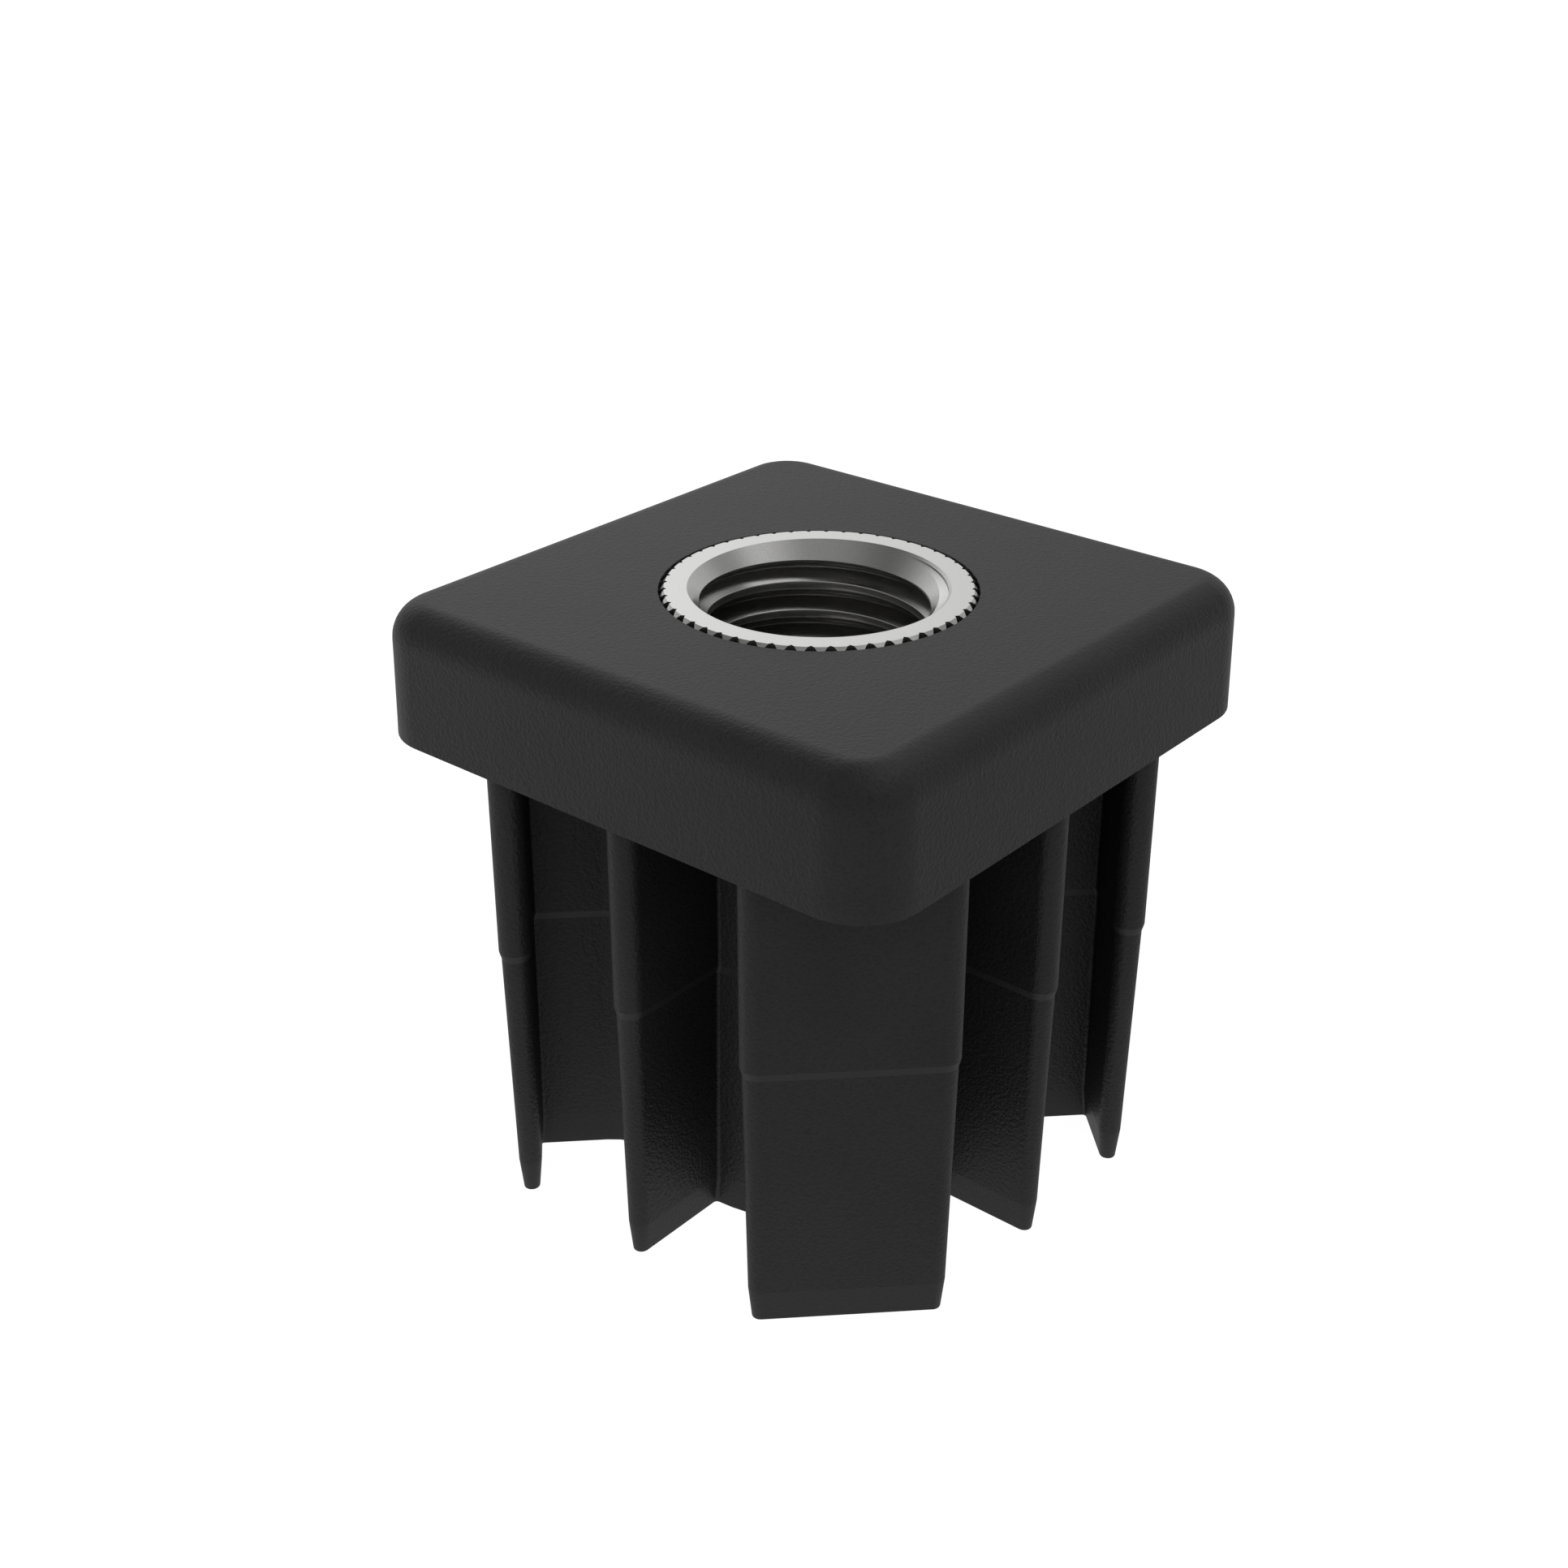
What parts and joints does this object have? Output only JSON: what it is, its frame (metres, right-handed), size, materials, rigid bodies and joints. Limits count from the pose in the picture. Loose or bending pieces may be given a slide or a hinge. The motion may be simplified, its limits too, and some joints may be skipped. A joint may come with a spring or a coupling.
{
  "type": "threaded tube insert",
  "caption": "Ribbed plastic insert that closes the end of a square tube and carries a knurled steel bush with an internal metric thread for a levelling foot or bolt.",
  "frame": {"origin": "on the thread's axis, in the plane of the cap's seat, where it meets the end of the tube", "axes": "+Z along the thread, out of the tube; X and Y square to the cap's sides, with the four ribs on them and the four corner plates between them"},
  "size_m": [0.04, 0.04, 0.0406],
  "materials": {
    "body": "black moulded plastic with a fine matt grain",
    "bush": "bright zinc-plated steel, turned"
  },
  "bodies": {
    "root": {"body": "body", "bush": "bush"}
  },
  "joints": []
}
